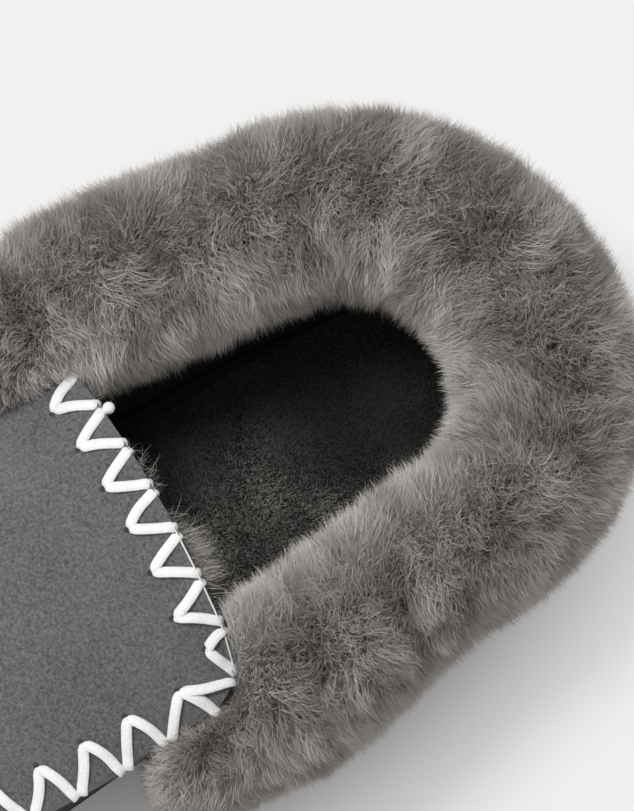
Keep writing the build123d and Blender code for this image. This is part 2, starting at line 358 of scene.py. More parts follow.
# %% Ribbons
def ribbon_mesh(name, hairs, tone, width, draw):
    """One mesh of tapered ribbons along lines of four points."""
    count = hairs.shape[0]
    twist = unit(draw.normal(0, 1, (count, 3)))
    taper = np.array([1.0, 0.9, 0.6])
    verts = np.zeros((count, 7, 3))
    for level in range(3):
        heading = unit(hairs[:, level + 1] - hairs[:, level])
        across = unit(np.cross(heading, twist))
        half = (width * taper[level] / 2)[:, None]
        verts[:, level * 2] = hairs[:, level] - across * half
        verts[:, level * 2 + 1] = hairs[:, level] + across * half
    verts[:, 6] = hairs[:, 3]
    quads = [0, 1, 3, 2, 2, 3, 5, 4]
    corner_pattern = np.array(quads + [4, 5, 6])
    corners = (np.arange(count)[:, None] * 7 + corner_pattern[None, :]).ravel()
    start_pattern = np.array([0, 4, 8])
    starts = (np.arange(count)[:, None] * 11 + start_pattern[None, :]).ravel()
    totals = np.tile([4, 4, 3], count)
    mesh = bpy.data.meshes.new(name)
    mesh.vertices.add(count * 7)
    mesh.vertices.foreach_set("co", verts.ravel())
    mesh.loops.add(corners.size)
    mesh.loops.foreach_set("vertex_index", corners)
    mesh.polygons.add(starts.size)
    mesh.polygons.foreach_set("loop_start", starts)
    mesh.polygons.foreach_set("loop_total", totals)
    tone_map = mesh.uv_layers.new(name="OFBake")
    strip = 0.006
    left = tone * (1 - strip)
    u = np.stack([left, left + strip] * 3 + [left + strip / 2], axis=1)
    v = np.tile([0.0, 0.0, 1 / 3, 1 / 3, 2 / 3, 2 / 3, 1.0], (count, 1))
    uv = np.stack([u, v], axis=2)[:, corner_pattern % 7]
    tone_map.data.foreach_set("uv", uv.ravel())
    mesh.update(calc_edges=True)
    mesh.polygons.foreach_set("use_smooth", np.ones(starts.size, dtype=bool))
    return mesh


def add_piece(name, mesh, material):
    """A new visible piece that rides with the slipper."""
    piece = bpy.data.objects.new(name, mesh)
    bpy.context.scene.collection.objects.link(piece)
    mesh.materials.clear()
    mesh.materials.append(material)
    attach(piece, "root")
    return piece


# %% [markdown]
# ## Finishes
#
# Two effects are shared, so each is a node group built once: a fine speckle for suede nap and
# short pile, and a tone for hair that reads the ribbons' map. A plain helper makes a material and
# gives its main shader. Numbers that are the same all over a surface are set on the shader.


# %% Shared node groups
def new_group(name, inputs, outputs):
    """A shader node group with named sockets, its input node and its output node."""
    group = bpy.data.node_groups.new(name, "ShaderNodeTree")
    for label, kind, value in inputs:
        socket = group.interface.new_socket(label, in_out="INPUT", socket_type=kind)
        socket.default_value = value
    for label, kind in outputs:
        group.interface.new_socket(label, in_out="OUTPUT", socket_type=kind)
    first = group.nodes.new("NodeGroupInput")
    last = group.nodes.new("NodeGroupOutput")
    return group, first, last


def math_node(tree, operation, a, b, clamp=False):
    node = tree.nodes.new("ShaderNodeMath")
    node.operation = operation
    node.use_clamp = clamp
    for socket, value in zip(node.inputs, (a, b)):
        if isinstance(value, (int, float)):
            socket.default_value = value
        else:
            tree.links.new(value, socket)
    return node.outputs[0]


def mix_colour(tree, share, a, b):
    node = tree.nodes.new("ShaderNodeMix")
    node.data_type = "RGBA"
    for socket, value in ((node.inputs[0], share), (node.inputs[6], a), (node.inputs[7], b)):
        if isinstance(value, (tuple, float)):
            socket.default_value = value
        else:
            tree.links.new(value, socket)
    return node.outputs[2]


def build_nap_group():
    """Nap of suede or short pile: a fine grain, broken up by softer brushed patches."""
    inputs = [
        ("Dark", "NodeSocketColor", (0.1, 0.1, 0.1, 1)),
        ("Light", "NodeSocketColor", (0.2, 0.2, 0.2, 1)),
        ("Grain Scale", "NodeSocketFloat", 2200.0),
        ("Patch Scale", "NodeSocketFloat", 60.0),
        ("Patch Share", "NodeSocketFloat", 0.4),
    ]
    outputs = [("Color", "NodeSocketColor"), ("Height", "NodeSocketFloat")]
    group, first, last = new_group("nap", inputs, outputs)
    place = group.nodes.new("ShaderNodeTexCoord")
    grain = group.nodes.new("ShaderNodeTexNoise")
    grain.inputs["Detail"].default_value = 6.0
    grain.inputs["Roughness"].default_value = 0.78
    group.links.new(place.outputs["Object"], grain.inputs["Vector"])
    group.links.new(first.outputs["Grain Scale"], grain.inputs["Scale"])
    patch = group.nodes.new("ShaderNodeTexNoise")
    patch.inputs["Detail"].default_value = 2.0
    group.links.new(place.outputs["Object"], patch.inputs["Vector"])
    group.links.new(first.outputs["Patch Scale"], patch.inputs["Scale"])
    sharp = group.nodes.new("ShaderNodeMapRange")
    sharp.inputs["From Min"].default_value = 0.32
    sharp.inputs["From Max"].default_value = 0.68
    group.links.new(grain.outputs["Fac"], sharp.inputs["Value"])
    soft = group.nodes.new("ShaderNodeMapRange")
    soft.inputs["From Min"].default_value = 0.3
    soft.inputs["From Max"].default_value = 0.7
    group.links.new(patch.outputs["Fac"], soft.inputs["Value"])
    keep = math_node(group, "SUBTRACT", 1.0, first.outputs["Patch Share"])
    from_grain = math_node(group, "MULTIPLY", sharp.outputs["Result"], keep)
    from_patch = math_node(group, "MULTIPLY", soft.outputs["Result"], first.outputs["Patch Share"])
    share = math_node(group, "ADD", from_grain, from_patch, clamp=True)
    colour = mix_colour(group, share, first.outputs["Dark"], first.outputs["Light"])
    group.links.new(colour, last.inputs["Color"])
    group.links.new(grain.outputs["Fac"], last.inputs["Height"])
    return group


def build_hair_group():
    """Hair tone from the ribbons' map: its own tone, painted shade near the root, paler at the tip.
    """
    inputs = [
        ("Dark Hair", "NodeSocketColor", (0.08, 0.07, 0.06, 1)),
        ("Light Hair", "NodeSocketColor", (0.4, 0.38, 0.36, 1)),
        ("Painted Root Shade", "NodeSocketFloat", 0.35),
        ("Tip Paling", "NodeSocketFloat", 0.35),
    ]
    group, first, last = new_group("hair tone", inputs, [("Color", "NodeSocketColor")])
    hair_map = group.nodes.new("ShaderNodeUVMap")
    hair_map.uv_map = "OFBake"
    parts = group.nodes.new("ShaderNodeSeparateXYZ")
    group.links.new(hair_map.outputs["UV"], parts.inputs[0])
    pair = (first.outputs["Dark Hair"], first.outputs["Light Hair"])
    own = mix_colour(group, parts.outputs["X"], *pair)
    rise = math_node(group, "POWER", parts.outputs["Y"], 1.4)
    # Each hair's colour turns towards the light colour along its length, so it is paler at the tip.
    tip_paling_share = math_node(group, "MULTIPLY", rise, first.outputs["Tip Paling"])
    paler = mix_colour(group, tip_paling_share, own, first.outputs["Light Hair"])
    # Mixing towards near-black at the root is painted shade, for the dark depth of the pile.
    from_tip = math_node(group, "SUBTRACT", 1.0, rise)
    painted_root_shade = math_node(group, "MULTIPLY", from_tip, first.outputs["Painted Root Shade"])
    shaded = mix_colour(group, painted_root_shade, paler, (0.01, 0.009, 0.008, 1))
    group.links.new(shaded, last.inputs["Color"])
    return group


nap_group = build_nap_group()
hair_group = build_hair_group()


# %% Materials
def new_material(name, roughness, sheen=0.0, specular=0.3):
    """A material with its own main shader, ready for links."""
    material = bpy.data.materials.new(name)
    material.use_nodes = True
    tree = material.node_tree
    shader = tree.nodes["Principled BSDF"]
    shader.inputs["Roughness"].default_value = roughness
    shader.inputs["Specular IOR Level"].default_value = specular
    shader.inputs["Sheen Weight"].default_value = sheen
    shader.inputs["Sheen Roughness"].default_value = 0.6
    return material, tree, shader


def use_group(tree, group, values):
    node = tree.nodes.new("ShaderNodeGroup")
    node.node_tree = group
    for label, value in values.items():
        node.inputs[label].default_value = value
    return node


def nap_material(name, dark, light, grain, patch, share, depth, roughness=0.9, sheen=0.2):
    """Suede, short pile, foam, board or rubber: one nap with its own values."""
    material, tree, shader = new_material(name, roughness, sheen, specular=0.15)
    values = {
        "Dark": (*dark, 1),
        "Light": (*light, 1),
        "Grain Scale": grain,
        "Patch Scale": patch,
        "Patch Share": share,
    }
    nap = use_group(tree, nap_group, values)
    bump = tree.nodes.new("ShaderNodeBump")
    bump.inputs["Strength"].default_value = 0.6
    bump.inputs["Distance"].default_value = depth
    tree.links.new(nap.outputs["Color"], shader.inputs["Base Color"])
    tree.links.new(nap.outputs["Height"], bump.inputs["Height"])
    tree.links.new(bump.outputs["Normal"], shader.inputs["Normal"])
    return material


def hair_material(name, dark, light, root_painted_shade, tip_paling, sheen=0.15):
    material, tree, shader = new_material(name, 0.8, sheen, specular=0.12)
    values = {
        "Dark Hair": (*dark, 1),
        "Light Hair": (*light, 1),
        "Painted Root Shade": root_painted_shade,
        "Tip Paling": tip_paling,
    }
    tone = use_group(tree, hair_group, values)
    tree.links.new(tone.outputs["Color"], shader.inputs["Base Color"])
    return material


# After the two colours: grain scale, patch scale, the patches' share, bump depth, roughness, sheen.
suede = nap_material(
    "grey suede", (0.018, 0.018, 0.020), (0.236, 0.236, 0.243), 1250, 45, 0.14, 0.0014
)
# The lining is dark cloth, and its near-black colour also carries painted shade inside the mouth.
lining = nap_material(
    "dark lining", (0.003, 0.003, 0.0026), (0.018, 0.018, 0.015), 1800, 90, 0.45, 0.0006, 0.95, 0.03
)
rubber = nap_material(
    "sole rubber", (0.018, 0.018, 0.019), (0.035, 0.035, 0.037), 900, 30, 0.5, 0.00008, 0.62, 0
)
foam = nap_material(
    "pale foam", (0.55, 0.54, 0.50), (0.72, 0.70, 0.66), 1200, 60, 0.3, 0.0002, 0.95, 0
)
board = nap_material(
    "fibre board", (0.30, 0.22, 0.14), (0.45, 0.36, 0.25), 700, 50, 0.4, 0.00008, 0.85, 0
)
# The hide's near-black colour is painted shade for the depth of the pile.
hide = nap_material(
    "hide under fur", (0.025, 0.023, 0.021), (0.06, 0.056, 0.052), 900, 60, 0.4, 0.0008
)
fur = hair_material("grey fur", (0.150, 0.131, 0.118), (0.76, 0.72, 0.68), 0.22, 0.20)
pile = hair_material("short dark pile", (0.006, 0.006, 0.005), (0.56, 0.56, 0.51), 0.4, 0.05)
print("materials:", len(bpy.data.materials))

finish_of = {
    "outsole": rubber,
    "midsole": foam,
    "footbed_foam": foam,
    "insole_board": board,
    "heel_counter": board,
    "footbed_cover": lining,
    "vamp_lining": lining,
    "quarter_lining_inner": lining,
    "quarter_lining_outer": lining,
    "apron_lining": lining,
    "vamp": suede,
    "quarter_inner": suede,
    "quarter_outer": suede,
    "apron": suede,
}
for name, material in finish_of.items():
    mesh = nodes[name].data
    mesh.materials.clear()
    mesh.materials.append(material)

# %% [markdown]
# ## The collar
#
# First the hide is a dark sheet, so no gap shows between roots; its dark colour is painted shade
# for the depth of the pile. Then the hairs are drawn at random over it, thinned where the horseshoe
# is tight so that they stand equally close everywhere, and put into several meshes along the ring,
# because one mesh of all the fur would be too heavy to keep.


# %% The hide
def grid_mesh(name, points, rows, columns):
    """A sheet of four-sided faces over a grid of points."""
    faces = []
    for row in range(rows - 1):
        for column in range(columns - 1):
            first = row * columns + column
            faces.append((first, first + 1, first + columns + 1, first + columns))
    mesh = bpy.data.meshes.new(name)
    mesh.from_pydata(points.tolist(), [], faces)
    mesh.polygons.foreach_set("use_smooth", np.ones(len(faces), dtype=bool))
    return mesh


rows = 121
columns = 41
grid_along, grid_across = np.meshgrid(
    np.linspace(0, ring_length, rows), np.linspace(0, profile_length, columns), indexing="ij"
)
hide_points = hide_place(grid_along.ravel(), grid_across.ravel())[0]
hide_mesh = grid_mesh("collar_hide", hide_points, rows, columns)
hide_piece = add_piece("collar_hide", hide_mesh, hide)
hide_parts("collar_inner", "collar_outer")

# %% The fur
draw = np.random.default_rng(7)
hair_count = 460000
along = draw.uniform(0, ring_length, hair_count)
across = draw.uniform(0, profile_length, hair_count)
reach = np.linalg.norm(hide_place(along, across)[0][:, :2] - np.array([0, bend_y]), axis=1)
on_arc = (along > side_length) & (along < side_length + arc_length)
# Round the bend, the chance that a hair stays grows with its distance from the bend's middle.
full_reach = 60 * MM
keep = draw.random(hair_count) < np.where(on_arc, reach / full_reach, bend_radius / full_reach)
along = along[keep]
across = across[keep]
hairs, tone, loose = tufted_hairs(along, across, draw)
width = np.where(loose, 0.15, 0.27) * MM
bundle = 34000
order = np.argsort(along, kind="stable")
for number, start in enumerate(range(0, order.size, bundle)):
    chosen = order[start : start + bundle]
    name = "collar_fur_%d" % (number + 1)
    mesh = ribbon_mesh(name, hairs[chosen], tone[chosen], width[chosen], draw)
    add_piece(name, mesh, fur)
print("hairs in the collar:", order.size)

# %% [markdown]
# ## The collar's front ends
#
# The hide is a sheet swept along the horseshoe, so both its front ends are open, and from the toe
# the collar would look hollow. Each end gets one flat face with the hide's own outline. Hairs start
# at random places in that face and point forwards. A place is inside the outline when an odd number
# of the outline's sides lie beside it on its right.

# %% Close the front ends
cap_draw = np.random.default_rng(17)
cap_corners = 40
cap_steps = np.linspace(0, profile_length, cap_corners)
cap_count = 26000
cap_pile_mm = (6, 12)
cap_sway = 0.35
cap_sink = 0.1
cap_curl_step = 0.9
cap_faces = []
cap_verts = []
cap_roots = []
for end in (0.0, ring_length):
    rim = hide_place(np.full(cap_steps.size, end), cap_steps)[0]
    base = len(cap_verts)
    cap_verts += [tuple(point) for point in rim]
    cap_faces.append(tuple(range(base, base + len(rim))))
    low = rim.min(axis=0)
    high = rim.max(axis=0)
    tries_x = cap_draw.uniform(low[0], high[0], cap_count)
    tries_z = cap_draw.uniform(low[2], high[2], cap_count)
    inside = np.zeros(cap_count, dtype=bool)
    for first, last in zip(rim, np.roll(rim, -1, axis=0)):
        spans_height = (first[2] > tries_z) != (last[2] > tries_z)
        rise = np.where(last[2] == first[2], 1, last[2] - first[2])
        edge_x = first[0] + (last[0] - first[0]) * (tries_z - first[2]) / rise
        inside ^= spans_height & (tries_x < edge_x)
    roots = np.column_stack([tries_x, np.full(cap_count, rim[0][1]), tries_z])[inside]
    cap_roots.append(roots)
cap_roots = np.vstack(cap_roots)
cap_mesh = bpy.data.meshes.new("collar_end_hide")
cap_mesh.from_pydata(cap_verts, [], cap_faces)
add_piece("collar_end_hide", cap_mesh, hide)
cap_size = len(cap_roots)
cap_wave = waves(61, cap_roots[:, 0], cap_roots[:, 2], 12 * MM)
cap_turn = waves(62, cap_roots[:, 0], cap_roots[:, 2], 9 * MM)
cap_way = np.column_stack([cap_sway * cap_wave, -np.ones(cap_size), cap_sway * cap_turn - cap_sink])
cap_way = cap_way + cap_draw.normal(0, 0.30, (cap_size, 3))
cap_length = cap_draw.uniform(*cap_pile_mm, cap_size) * MM
cap_points = [cap_roots]
cap_curl = cap_draw.normal(0, 0.5, (cap_size, 3))
for level in range(1, levels):
    cap_points.append(cap_points[-1] + unit(cap_way) * (cap_length / (levels - 1))[:, None])
    cap_way = cap_way + np.cross(cap_way, cap_curl) * cap_curl_step
cap_tone = np.clip(0.36 + 0.2 * cap_wave + cap_draw.normal(0, 0.12, cap_size), 0.02, 0.98)
cap_width = np.full(cap_size, (0.27) * MM)
cap_hairs = np.stack(cap_points, axis=1)
cap_hair_mesh = ribbon_mesh("collar_end_fur", cap_hairs, cap_tone, cap_width, cap_draw)
add_piece("collar_end_fur", cap_hair_mesh, fur)
print("hairs on the front ends:", cap_size)

# %% [markdown]
# ## Short pile inside
#
# The footbed and the lining are the same cloth as each other, a dark plush about two millimetres
# deep. Where the mouth shows the footbed, its pile is real too, brushed one way and another by the
# foot. Its tone is paler at a spot behind the throat, partly brushed nap and partly painted light,
# and paler towards the side facing the camera, which is painted light; towards the heel and the
# far side it stays near-black, which is painted shade.

# %% Footbed pile
bed_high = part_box("footbed_cover")[1]
pile_count = 110000
pile_half_width = 29 * MM
pile_reach = 28 * MM
under_apron = 25 * MM
from_bed_end = 6 * MM
bed_x = draw.uniform(-pile_half_width, pile_half_width, pile_count)
bed_y = draw.uniform(throat_back - under_apron, bed_high.y - from_bed_end, pile_count)
heel_of_bed = bed_high.y - pile_half_width
behind = np.maximum(bed_y - heel_of_bed, 0)
inside = bed_x**2 + behind**2 < pile_reach**2
bed_x = bed_x[inside]
bed_y = bed_y[inside]


def short_hairs(roots, heading, length, stray):
    """Four points of short hairs that lean one way from their roots."""
    points = [roots]
    way = heading
    for level in range(1, levels):
        points.append(points[-1] + unit(way) * (length / (levels - 1))[:, None])
        way = way + stray
    return np.stack(points, axis=1)


bed_upright = 1.1
bed_pile_mm = (1.0, 2.0)
bed_hair_width = 0.20 * MM
# The pale spot behind the throat is partly brushed nap and partly painted light.
pale_spot_x_middle = 5 * MM
pale_spot_behind_throat = 20 * MM
pale_spot_half_width = 15 * MM
pale_spot_half_length = 21 * MM
lean_x = waves(41, bed_x, bed_y, 26 * MM)
lean_y = waves(42, bed_x, bed_y, 20 * MM)
bed_roots = np.column_stack([bed_x, bed_y, np.full(bed_x.size, bed_high.z - 0.3 * MM)])
bed_heading = np.column_stack([lean_x, lean_y, np.full(bed_x.size, bed_upright)])
bed_heading = bed_heading + draw.normal(0, 0.35, (bed_x.size, 3))
bed_length = draw.uniform(*bed_pile_mm, bed_x.size) * MM
bed_stray = draw.normal(0, 0.15, (bed_x.size, 3))
bed_hairs = short_hairs(bed_roots, bed_heading, bed_length, bed_stray)
pale_spot_x = (bed_x - pale_spot_x_middle) / pale_spot_half_width
pale_spot_y = (bed_y - throat_back - pale_spot_behind_throat) / pale_spot_half_length
# Painted light: paler at the spot and towards the camera's side. Elsewhere near-black: painted
# shade.
brushed_spot_and_painted_light = np.exp(-(pale_spot_x**2 + pale_spot_y**2)) + 0.6 * np.clip((bed_x - 8 * MM) / (16 * MM), 0, 1)
bed_tone = 0.02 + brushed_spot_and_painted_light * (0.74 + 0.36 * lean_x + 0.26 * lean_y)
bed_tone = np.clip(bed_tone * draw.lognormal(0, 0.40, bed_x.size), 0.01, 0.98)
bed_width = np.full(bed_x.size, bed_hair_width)
for number, start in enumerate(range(0, bed_x.size, bundle)):
    chosen = slice(start, start + bundle)
    name = "footbed_pile_%d" % (number + 1)
    bed_mesh = ribbon_mesh(name, bed_hairs[chosen], bed_tone[chosen], bed_width[chosen], draw)
    add_piece(name, bed_mesh, pile)
print("hairs on the footbed:", bed_x.size)

# %% [markdown]
# ## Loose hair at the throat
#
# The apron's lining ends at the throat in a raw edge that bows and falls to both sides. A few long
# hairs escape all along it, in bunches, and one pale tuft of fur stands near its inner side.

# %% Wisps at the throat
wisp_count = 900
wisp_reach = 0.88
wisp_pile_mm = (2.5, 6.5)
wisp_width = 0.14 * MM
tuft_count = 700
tuft_middle = 16 * MM
tuft_spread = 4.0 * MM
tuft_pile_mm = (5, 12)
tuft_width = 0.15 * MM
throat_bow = 6.5 * MM
throat_fall = 13 * MM
lining_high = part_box("apron_lining")[1]


def throat_roots(x, forward, below):
    """Places along the raw edge, a little in front of it and below it."""
    share = x / apron_half
    y = throat_back - forward - throat_bow * share**2
    z = lining_high.z - below - throat_fall * share**2
    return np.column_stack([x, y, z])


wisp_x = draw.uniform(-wisp_reach, wisp_reach, wisp_count) * apron_half
wisp_roots = throat_roots(wisp_x, 1.5 * MM, 2.0 * MM)
wisp_y = wisp_roots[:, 1]
wisp_sway = 0.5 * waves(51, wisp_x, wisp_y, 12 * MM)
wisp_heading = np.column_stack([wisp_sway, np.ones(wisp_count), np.zeros(wisp_count)])
wisp_heading = wisp_heading + draw.normal(0, 0.38, (wisp_count, 3))
wisp_bunch = np.clip(waves(52, wisp_x, wisp_y, 18 * MM) + 0.6, 0.15, 1.4)
wisp_length = draw.uniform(*wisp_pile_mm, wisp_count) * MM * wisp_bunch
wisp_stray = draw.normal(0, 0.35, (wisp_count, 3))
wisps = short_hairs(wisp_roots, wisp_heading, wisp_length, wisp_stray)
wisp_tone = np.clip(draw.normal(0.55, 0.3, wisp_count), 0.02, 0.98)

tuft_x = draw.normal(tuft_middle, tuft_spread, tuft_count)
tuft_roots = throat_roots(tuft_x, 2.5 * MM, 3 * MM)
tuft_heading = np.array([0.30, 1.0, 0.25]) + draw.normal(0, 0.28, (tuft_count, 3))
tuft_length = draw.uniform(*tuft_pile_mm, tuft_count) * MM
tuft_stray = draw.normal(0, 0.22, (tuft_count, 3))
tuft_hairs = short_hairs(tuft_roots, tuft_heading, tuft_length, tuft_stray)
tuft_tone = np.clip(draw.normal(0.4, 0.2, tuft_count), 0.02, 0.98)
tuft_widths = np.full(tuft_count, tuft_width)
tuft_mesh = ribbon_mesh("throat_tuft", tuft_hairs, tuft_tone, tuft_widths, draw)
add_piece("throat_tuft", tuft_mesh, fur)
wisp_widths = np.full(wisp_count, wisp_width)
wisp_mesh = ribbon_mesh("throat_wisps", wisps, wisp_tone, wisp_widths, draw)
add_piece("throat_wisps", wisp_mesh, pile)

# %% [markdown]
# ## The thread
#
# The frame's thread pieces are straight bars, two for each stitch. Their middles give the seam's
# real rhythm, so each leg is read from its bar: the end nearer the apron's middle is its hole. The
# bars stop short of their holes, so each is lengthened by that trim first. Two legs that end near
# each other share one hole, at the place where they cross or else midway.


# %% Read the stitches
def islands(mesh):
    """The separate solids of one mesh, each as an array of its corners."""
    parent = list(range(len(mesh.vertices)))

    def top(i):
        while parent[i] != i:
            parent[i] = parent[parent[i]]
            i = parent[i]
        return i

    seen = {}
    for i, vertex in enumerate(mesh.vertices):
        key = tuple(round(value, 6) for value in vertex.co)
        if key in seen:
            parent[top(i)] = top(seen[key])
        seen.setdefault(key, i)
    for edge in mesh.edges:
        parent[top(edge.vertices[0])] = top(edge.vertices[1])
    groups = {}
    for i, vertex in enumerate(mesh.vertices):
        groups.setdefault(top(i), []).append(vertex.co[:])
    return [np.array(group) for group in groups.values()]


def bar_ends(corners):
    """The middles of a bar's two ends."""
    middle = corners.mean(axis=0)
    _, _, axes = np.linalg.svd(corners - middle)
    run = (corners - middle) @ axes[0]
    half = (run.max() - run.min()) / 2
    return middle - axes[0] * half, middle + axes[0] * half


apron_middle = np.array(
    [(throat_box[0].x + throat_box[1].x) / 2, (throat_box[0].y + throat_back) / 2, 0]
)
suede_top = BVHTree.FromObject(nodes["apron"], bpy.context.evaluated_depsgraph_get())
hole_trim = 4.7 * MM
shared_reach = 6 * MM
crossing_reach = 0.6
legs = []
for name in ("throat_thread", "seam_thread"):
    for corners in islands(nodes[name].data):
        first, last = bar_ends(corners)
        if np.linalg.norm((first - apron_middle)[:2]) < np.linalg.norm((last - apron_middle)[:2]):
            first, last = last, first
        legs.append((last + (last - first) / np.linalg.norm(last - first) * hole_trim, first))


def crossing(hole_a, edge_a, hole_b, edge_b):
    """Where two legs cross in plan, or the middle of their holes where they don't."""
    run_a = (edge_a - hole_a)[:2]
    run_b = (edge_b - hole_b)[:2]
    gap = (hole_b - hole_a)[:2]
    turn = run_a[0] * run_b[1] - run_a[1] * run_b[0]
    if abs(turn) > 1e-9:
        along_a = (gap[0] * run_b[1] - gap[1] * run_b[0]) / turn
        along_b = (gap[0] * run_a[1] - gap[1] * run_a[0]) / turn
        if 0 < along_a < crossing_reach and 0 < along_b < crossing_reach:
            return hole_a + (edge_a - hole_a) * along_a
    return (hole_a + hole_b) / 2


holes = np.array([leg[0] for leg in legs])
spans = np.linalg.norm((holes[:, None] - holes[None, :])[:, :, :2], axis=2) + np.eye(len(legs))
nearest = spans.argmin(axis=1)
for i, j in enumerate(nearest):
    if nearest[j] == i and i < j and spans[i, j] < shared_reach:
        meeting = crossing(*legs[i], *legs[j])
        legs[i] = (meeting, legs[i][1])
        legs[j] = (meeting, legs[j][1])
print("thread legs:", len(legs))


def drop_to_suede(x, y, lift):
    """The apron's top at a place in plan, raised a little, or None past its edge."""
    hit = suede_top.ray_cast(Vector((x, y, 0.2)), Vector((0, 0, -1)))
    if hit[0] is None:
        return None
    return np.array(hit[0]) + np.array(hit[1]) * lift


# %% [markdown]
# ## The near corner
#
# No bar reaches the apron's inner corner, where the seam turns from the throat into the side. Two
# more legs meet on the edge at that corner. One comes from the throat's last hole and one from the
# side's first hole. Their meeting point is moved outwards in small steps until the suede ends.

# %% Round the near corner
throat_depth = 16 * MM
past_throat = 4 * MM
edge_step = 0.4 * MM
throat_legs = [leg for leg in legs if leg[1][1] > throat_back - throat_depth]
last_throat = max(throat_legs, key=lambda leg: leg[1][0])
side_start = last_throat[1][1] - past_throat
side_legs = [leg for leg in legs if leg[1][0] > 0 and leg[1][1] < side_start]
first_side = max(side_legs, key=lambda leg: leg[1][1])
corner_edge = (last_throat[1] + first_side[1]) / 2
outward = unit((corner_edge - apron_middle)[None, :] * np.array([1, 1, 0]))[0]
for _ in range(40):
    further = corner_edge + outward * edge_step
    if drop_to_suede(further[0], further[1], 0) is None:
        break
    corner_edge = further
legs += [(last_throat[0], corner_edge), (first_side[0], corner_edge)]
print("near corner at, mm:", np.round(corner_edge / MM, 1))

# %% [markdown]
# ## The braids
#
# Each leg is built again as a flat waxed braid. It rises from its hole, lies over the suede with a
# slight arch, and turns down round the cut edge. Its section is a flat oval with shallow plies.

# %% Build the thread
thread_width = 2.4 * MM
thread_thickness = 0.7 * MM
hole_depth = 1.2 * MM
leg_arch = 0.5 * MM
# Past the edge: how far forward and how far down each of the last points lies, in millimetres.
edge_wrap = ((1.3, 0.5), (1.9, 1.7), (1.5, 3.2))
section_corners = 20


def leg_path(hole, edge, bow):
    """Middle points of one leg: out of its hole, over the suede and down round the edge."""
    run = edge - hole
    length = np.linalg.norm(run[:2])
    forward = run / np.linalg.norm(run)
    side = unit(np.array([[-forward[1], forward[0], 0]]))[0]
    points = []
    lift = thread_thickness * 0.5
    sink = drop_to_suede(hole[0], hole[1], -hole_depth)
    if sink is not None:
        points.append(sink)
    for share in np.linspace(0.04, 1.0, 9):
        x, y = (hole + run * share + side * bow * length * math.sin(math.pi * share))[:2]
        height = lift + leg_arch * math.sin(math.pi * min(share * 1.2, 1))
        top = drop_to_suede(x, y, height)
        if top is not None:
            points.append(top)
    last = points[-1]
    flat = np.array([forward[0], forward[1], 0])
    for ahead, down in edge_wrap:
        points.append(last + flat * ahead * MM + np.array([0, 0, -down * MM]))
    return np.array(points)


def braid_section():
    """A flat oval whose outline swells six times, as the plies of a braid do."""
    ring = []
    for index in range(section_corners):
        angle = 2 * math.pi * index / section_corners
        plies = 1 + 0.10 * math.cos(6 * angle)
        ring.append((math.cos(angle) * plies, math.sin(angle) * plies))
    return np.array(ring)


section = braid_section()


def thread_mesh(name, paths, width, thickness):
    """Flat braids swept along paths, turned so that they lie on the suede."""
    verts = []
    faces = []
    size = len(section)
    last_across = np.array([1.0, 0.0, 0.0])
    for path in paths:
        base = len(verts)
        dense = [path[0]]
        for a, b in zip(path[:-1], path[1:]):
            dense += [a * 0.5 + b * 0.5, b]
        dense = np.array(dense)
        dense[1:-1] = dense[:-2] * 0.25 + dense[1:-1] * 0.5 + dense[2:] * 0.25
        headings = unit(np.gradient(dense, axis=0))
        for number, (point, heading) in enumerate(zip(dense, headings)):
            across = np.cross(heading, np.array([0, 0, 1]))
            if np.linalg.norm(across) < 0.35:
                across = last_across
            across = across / np.linalg.norm(across)
            last_across = across
            up = np.cross(across, heading)
            narrow = 0.45 + 0.55 * min(1, number / 4)
            for x, y in section:
                offset = across * x * width / 2 * narrow + up * y * thickness / 2
                verts.append(point + offset)
        for level in range(len(dense) - 1):
            for corner in range(size):
                after = (corner + 1) % size
                low = base + level * size
                faces.append((low + corner, low + after, low + size + after, low + size + corner))
        faces.append(tuple(base + corner for corner in range(size)))
        top = base + (len(dense) - 1) * size
        faces.append(tuple(top + corner for corner in reversed(range(size))))
    mesh = bpy.data.meshes.new(name)
    mesh.from_pydata([tuple(v) for v in verts], [], faces)
    mesh.polygons.foreach_set("use_smooth", np.ones(len(faces), dtype=bool))
    return mesh


thread_draw = np.random.default_rng(3)
paths = [leg_path(hole, edge, thread_draw.uniform(-0.05, 0.10)) for hole, edge in legs]
thread = nap_material(
    "white thread", (0.74, 0.74, 0.74), (0.96, 0.96, 0.96), 1400, 300, 0.3, 0.0004, 0.5, 0.1
)
stitch_mesh = thread_mesh("stitch_thread", paths, thread_width, thread_thickness)
thread_piece = add_piece("stitch_thread", stitch_mesh, thread)
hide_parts("throat_thread", "seam_thread")
nodes["thread_knot"].data.materials.clear()
nodes["thread_knot"].data.materials.append(thread)

# %% [markdown]
# ## A slack ply and the holes
#
# One thin slack ply of the thread shows along the cut edge towards the near corner, a little behind
# the legs and below them. Each hole is a small dark disk on the suede, painted shade in place of a
# real opening, set slightly towards the apron's middle, where the braid leaves it uncovered.

# %% Edge strand
strand_from = 6 * MM
strand_width = 0.35 * MM
strand_offset = np.array([0, 0.9 * MM, -0.5 * MM])
edge_points = [leg[1] for leg in throat_legs if leg[1][0] > strand_from]
edge_points.sort(key=lambda point: point[0])
strand = []
for first, last in zip(edge_points[:-1], edge_points[1:]):
    for share in (0.0, 0.25, 0.5, 0.75):
        strand.append(first + (last - first) * share + strand_offset)
strand_mesh = thread_mesh("edge_strand", [np.array(strand)], strand_width, strand_width)
add_piece("edge_strand", strand_mesh, thread)

